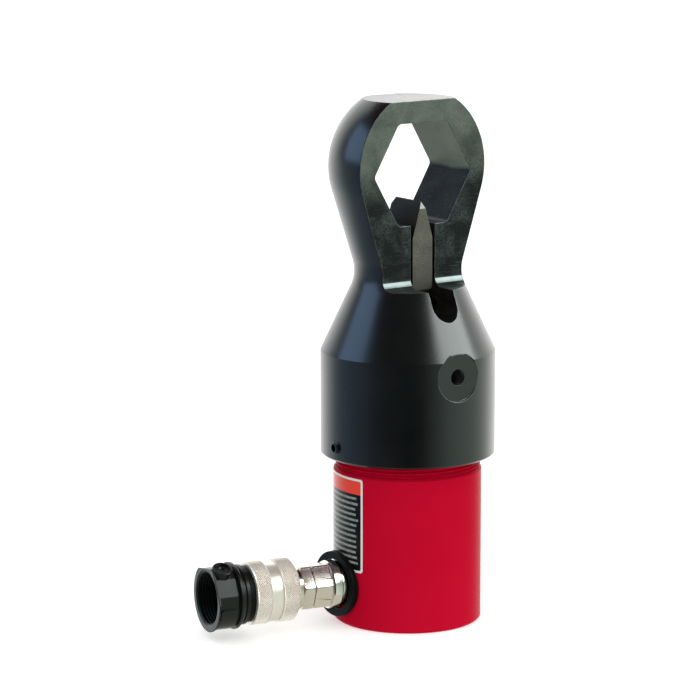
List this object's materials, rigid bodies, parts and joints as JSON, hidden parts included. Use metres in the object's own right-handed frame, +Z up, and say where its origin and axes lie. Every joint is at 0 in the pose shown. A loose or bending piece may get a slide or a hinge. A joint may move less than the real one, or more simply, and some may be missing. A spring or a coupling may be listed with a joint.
{
  "type": "hydraulic nut splitter",
  "caption": "Steel cutter head with a hexagonal nut opening and a chisel blade, driven by a short spring-return hydraulic cylinder with a capped screw coupler.",
  "frame": {"origin": "centre of the cylinder's base face", "axes": "+Z up along the cylinder's axis towards the head, -Y out of the head's front face, coupler towards -X (10 degrees round towards +Y)"},
  "size_m": [0.1782, 0.1008, 0.3029],
  "materials": {
    "black_oxide_steel": "satin black oxide",
    "blade_steel": "ground tool steel with an oil-brown film",
    "red_paint": "gloss crimson enamel",
    "nickel_plate": "bright nickel plate",
    "plain_steel": "machined steel",
    "bronze": "bronze-filled guide material",
    "black_plastic": "semi-gloss moulded black",
    "black_rubber": "matt black rubber",
    "seal_polymer": "blue polyurethane",
    "label_film": "glossy black film with a white edge and a red band"
  },
  "bodies": {
    "housing": {"cutter_head": "black_oxide_steel", "head_lock_screw": "black_oxide_steel", "cylinder_barrel": "red_paint", "data_label": "label_film", "stop_ring": "plain_steel", "rod_bearing": "bronze", "rod_wiper": "seal_polymer", "return_spring": "plain_steel", "spring_anchor_bolt": "plain_steel", "tether_ring": "black_rubber", "coupler_adapter": "nickel_plate", "coupler_joint_ring": "bronze", "coupler_body": "nickel_plate", "sleeve_retaining_ring": "plain_steel", "coupler_face_seal": "black_rubber", "poppet_spring": "plain_steel", "poppet_guide": "plain_steel"},
    "ram": {"plunger": "plain_steel", "piston_seal": "seal_polymer", "piston_backup_ring": "bronze", "piston_wear_ring": "bronze", "spring_top_plug": "plain_steel", "blade_holder": "plain_steel", "blade_set_screw": "plain_steel", "chisel_blade": "blade_steel"},
    "sleeve": {"coupler_sleeve": "nickel_plate"},
    "cap_seal": {"cap_gasket": "black_rubber"},
    "cap": {"dust_cap": "black_plastic"},
    "valve": {"valve_poppet": "plain_steel", "poppet_seal": "black_rubber"}
  },
  "joints": [
    {"name": "ram_stroke", "type": "slide", "parent": "housing", "child": "ram", "axis": [0, 0, 1], "range_m": [0, 0.0254], "stiffness_N_per_m": 7000, "springref_m": -0.03, "deforming": ["return_spring"]},
    {"name": "sleeve_spin", "type": "hinge", "parent": "housing", "child": "sleeve", "pos_m": [-0.08666, 0.01528, 0.024], "axis": [-0.9848, 0.1736, 0], "continuous": true},
    {"name": "cap_draw", "type": "slide", "parent": "sleeve", "child": "cap_seal", "axis": [-0.9848, 0.1736, 0], "range_m": [0, 0.0091]},
    {"name": "cap_turn", "type": "hinge", "parent": "cap_seal", "child": "cap", "pos_m": [-0.11325, 0.01997, 0.024], "axis": [-0.9848, 0.1736, 0], "range_deg": [0, 1800]},
    {"name": "valve_push", "type": "slide", "parent": "housing", "child": "valve", "axis": [0.9848, -0.1736, 0], "range_m": [0, 0.004], "stiffness_N_per_m": 1500, "springref_m": -0.004}
  ],
  "couplings": [
    {"joint": "cap_draw", "follows": "cap_turn", "m_per_rad": 0.00028875}
  ]
}
